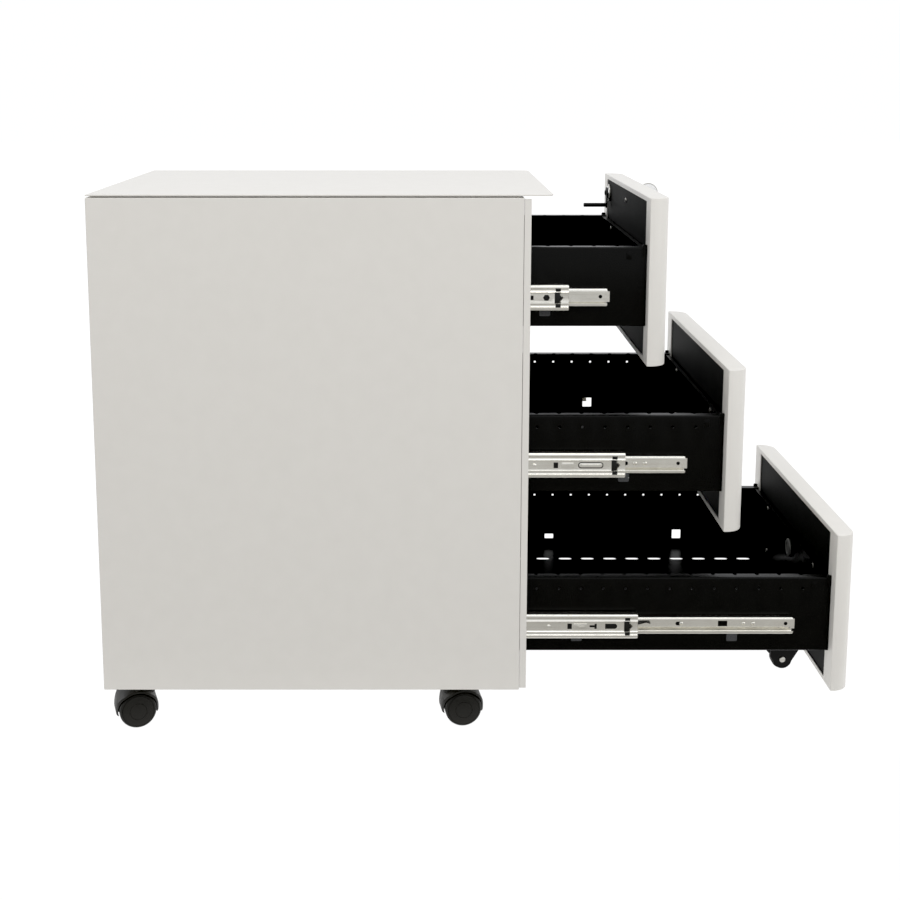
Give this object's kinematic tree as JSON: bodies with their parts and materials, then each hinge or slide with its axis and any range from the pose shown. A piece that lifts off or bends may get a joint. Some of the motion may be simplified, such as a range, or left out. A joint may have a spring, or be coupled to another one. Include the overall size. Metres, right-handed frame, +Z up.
{
  "type": "under desk drawer unit",
  "caption": "Low steel drawer pedestal on castors for under a desk, with ball-bearing runners, a key lock that lifts a lock bar, and an anti-tip wheel.",
  "frame": {"origin": "on the floor under the middle of the whole unit, its drawers standing open as stored", "axes": "+Z up, drawer fronts face -Y, +X is the right-hand side for a person facing the fronts; the lock is on that side"},
  "size_m": [0.39, 0.842, 0.616],
  "materials": {
    "white_powder_coat": "fine-textured satin powder coat",
    "black_powder_coat": "fine-textured satin powder coat",
    "zinc_plate": "bright zinc plate on rolled steel",
    "chrome": "polished nickel-chrome plate",
    "black_nylon": "moulded satin",
    "grey_plastic": "moulded satin"
  },
  "bodies": {
    "cabinet": {"top_plate": "white_powder_coat", "side_panel_left": "white_powder_coat", "side_panel_right": "white_powder_coat", "back_panel": "white_powder_coat", "base_pan": "white_powder_coat", "front_post_left": "white_powder_coat", "front_post_right": "white_powder_coat", "bottom_cabinet_runner_left": "zinc_plate", "bottom_cabinet_runner_right": "zinc_plate", "middle_cabinet_runner_left": "zinc_plate", "middle_cabinet_runner_right": "zinc_plate", "top_cabinet_runner_left": "zinc_plate", "top_cabinet_runner_right": "zinc_plate", "castor_back_left_stem": "zinc_plate", "castor_back_right_stem": "zinc_plate", "castor_front_left_stem": "zinc_plate", "castor_front_right_stem": "zinc_plate"},
    "bottom_drawer": {"bottom_drawer_front": "white_powder_coat", "bottom_drawer_liner": "black_powder_coat", "bottom_drawer_box": "black_powder_coat", "bottom_drawer_runner_left": "zinc_plate", "bottom_drawer_runner_right": "zinc_plate", "hole_plug": "grey_plastic", "antitip_bracket": "black_powder_coat", "antitip_axle": "zinc_plate"},
    "bottom_middle_runners": {"bottom_middle_runner_left": "zinc_plate", "bottom_middle_runner_right": "zinc_plate"},
    "middle_drawer": {"middle_drawer_front": "white_powder_coat", "middle_drawer_liner": "black_powder_coat", "middle_drawer_box": "black_powder_coat", "middle_drawer_runner_left": "zinc_plate", "middle_drawer_runner_right": "zinc_plate"},
    "middle_middle_runners": {"middle_middle_runner_left": "zinc_plate", "middle_middle_runner_right": "zinc_plate"},
    "top_drawer": {"top_drawer_front": "white_powder_coat", "top_drawer_liner": "black_powder_coat", "top_drawer_box": "black_powder_coat", "top_drawer_runner_left": "zinc_plate", "top_drawer_runner_right": "zinc_plate", "lock_housing": "chrome"},
    "top_middle_runners": {"top_middle_runner_left": "zinc_plate", "top_middle_runner_right": "zinc_plate"},
    "lock_cylinder": {"lock_plug": "chrome", "lock_key": "chrome", "lock_cam": "black_powder_coat"},
    "lock_bar": {"lock_bar": "black_powder_coat"},
    "antitip_wheel": {"antitip_wheel": "black_nylon"},
    "castor_back_left": {"castor_back_left_hood": "black_nylon"},
    "castor_back_left_wheel_a": {"castor_back_left_wheel_a": "black_nylon"},
    "castor_back_left_wheel_b": {"castor_back_left_wheel_b": "black_nylon"},
    "castor_back_right": {"castor_back_right_hood": "black_nylon"},
    "castor_back_right_wheel_a": {"castor_back_right_wheel_a": "black_nylon"},
    "castor_back_right_wheel_b": {"castor_back_right_wheel_b": "black_nylon"},
    "castor_front_left": {"castor_front_left_hood": "black_nylon"},
    "castor_front_left_wheel_a": {"castor_front_left_wheel_a": "black_nylon"},
    "castor_front_left_wheel_b": {"castor_front_left_wheel_b": "black_nylon"},
    "castor_front_right": {"castor_front_right_hood": "black_nylon"},
    "castor_front_right_wheel_a": {"castor_front_right_wheel_a": "black_nylon"},
    "castor_front_right_wheel_b": {"castor_front_right_wheel_b": "black_nylon"}
  },
  "joints": [
    {"name": "drawer_bottom_slide", "type": "slide", "parent": "cabinet", "child": "bottom_drawer", "axis": [0, -1, 0], "range_m": [-0.343, 0.017]},
    {"name": "drawer_bottom_runner", "type": "slide", "parent": "cabinet", "child": "bottom_middle_runners", "axis": [0, -1, 0], "range_m": [-0.16175, 0.00821]},
    {"name": "drawer_middle_slide", "type": "slide", "parent": "cabinet", "child": "middle_drawer", "axis": [0, -1, 0], "range_m": [-0.216, 0.144]},
    {"name": "drawer_middle_runner", "type": "slide", "parent": "cabinet", "child": "middle_middle_runners", "axis": [0, -1, 0], "range_m": [-0.14341, 0.09567]},
    {"name": "drawer_top_slide", "type": "slide", "parent": "cabinet", "child": "top_drawer", "axis": [0, -1, 0], "range_m": [-0.126, 0.234]},
    {"name": "drawer_top_runner", "type": "slide", "parent": "cabinet", "child": "top_middle_runners", "axis": [0, -1, 0], "range_m": [-0.07794, 0.14458]},
    {"name": "lock_turn", "type": "hinge", "parent": "top_drawer", "child": "lock_cylinder", "pos_m": [0.148, -0.182, 0.59], "axis": [0, 1, 0], "range_deg": [0, 90]},
    {"name": "lock_bar_lift", "type": "slide", "parent": "cabinet", "child": "lock_bar", "axis": [0, 0, 1], "range_m": [0, 0.016]},
    {"name": "wheel_antitip", "type": "hinge", "parent": "bottom_drawer", "child": "antitip_wheel", "pos_m": [0, -0.393, 0.013], "axis": [1, 0, 0], "continuous": true},
    {"name": "swivel_back_left", "type": "hinge", "parent": "cabinet", "child": "castor_back_left", "pos_m": [-0.151, 0.3825, 0.046], "axis": [0, 0, 1], "continuous": true},
    {"name": "wheel_back_left_a", "type": "hinge", "parent": "castor_back_left", "child": "castor_back_left_wheel_a", "pos_m": [-0.15471, 0.39391, 0.021], "axis": [0.9511, 0.309, 0], "continuous": true},
    {"name": "wheel_back_left_b", "type": "hinge", "parent": "castor_back_left", "child": "castor_back_left_wheel_b", "pos_m": [-0.15471, 0.39391, 0.021], "axis": [0.9511, 0.309, 0], "continuous": true},
    {"name": "swivel_back_right", "type": "hinge", "parent": "cabinet", "child": "castor_back_right", "pos_m": [0.151, 0.3825, 0.046], "axis": [0, 0, 1], "continuous": true},
    {"name": "wheel_back_right_a", "type": "hinge", "parent": "castor_back_right", "child": "castor_back_right_wheel_a", "pos_m": [0.15349, 0.39424, 0.021], "axis": [0.9781, -0.2079, 0], "continuous": true},
    {"name": "wheel_back_right_b", "type": "hinge", "parent": "castor_back_right", "child": "castor_back_right_wheel_b", "pos_m": [0.15349, 0.39424, 0.021], "axis": [0.9781, -0.2079, 0], "continuous": true},
    {"name": "swivel_front_left", "type": "hinge", "parent": "cabinet", "child": "castor_front_left", "pos_m": [-0.151, 0.0285, 0.046], "axis": [0, 0, 1], "continuous": true},
    {"name": "wheel_front_left_a", "type": "hinge", "parent": "castor_front_left", "child": "castor_front_left_wheel_a", "pos_m": [-0.14933, 0.01662, 0.021], "axis": [-0.9903, -0.1392, 0], "continuous": true},
    {"name": "wheel_front_left_b", "type": "hinge", "parent": "castor_front_left", "child": "castor_front_left_wheel_b", "pos_m": [-0.14933, 0.01662, 0.021], "axis": [-0.9903, -0.1392, 0], "continuous": true},
    {"name": "swivel_front_right", "type": "hinge", "parent": "cabinet", "child": "castor_front_right", "pos_m": [0.151, 0.0285, 0.046], "axis": [0, 0, 1], "continuous": true},
    {"name": "wheel_front_right_a", "type": "hinge", "parent": "castor_front_right", "child": "castor_front_right_wheel_a", "pos_m": [0.1469, 0.01722, 0.021], "axis": [-0.9397, 0.342, 0], "continuous": true},
    {"name": "wheel_front_right_b", "type": "hinge", "parent": "castor_front_right", "child": "castor_front_right_wheel_b", "pos_m": [0.1469, 0.01722, 0.021], "axis": [-0.9397, 0.342, 0], "continuous": true}
  ],
  "couplings": [
    {"joint": "drawer_bottom_runner", "follows": "drawer_bottom_slide", "ratio": 0.471},
    {"joint": "drawer_middle_runner", "follows": "drawer_middle_slide", "ratio": 0.663},
    {"joint": "drawer_top_runner", "follows": "drawer_top_slide", "ratio": 0.617},
    {"joint": "lock_turn", "follows": "lock_bar_lift", "rad_per_m": 98.175}
  ]
}
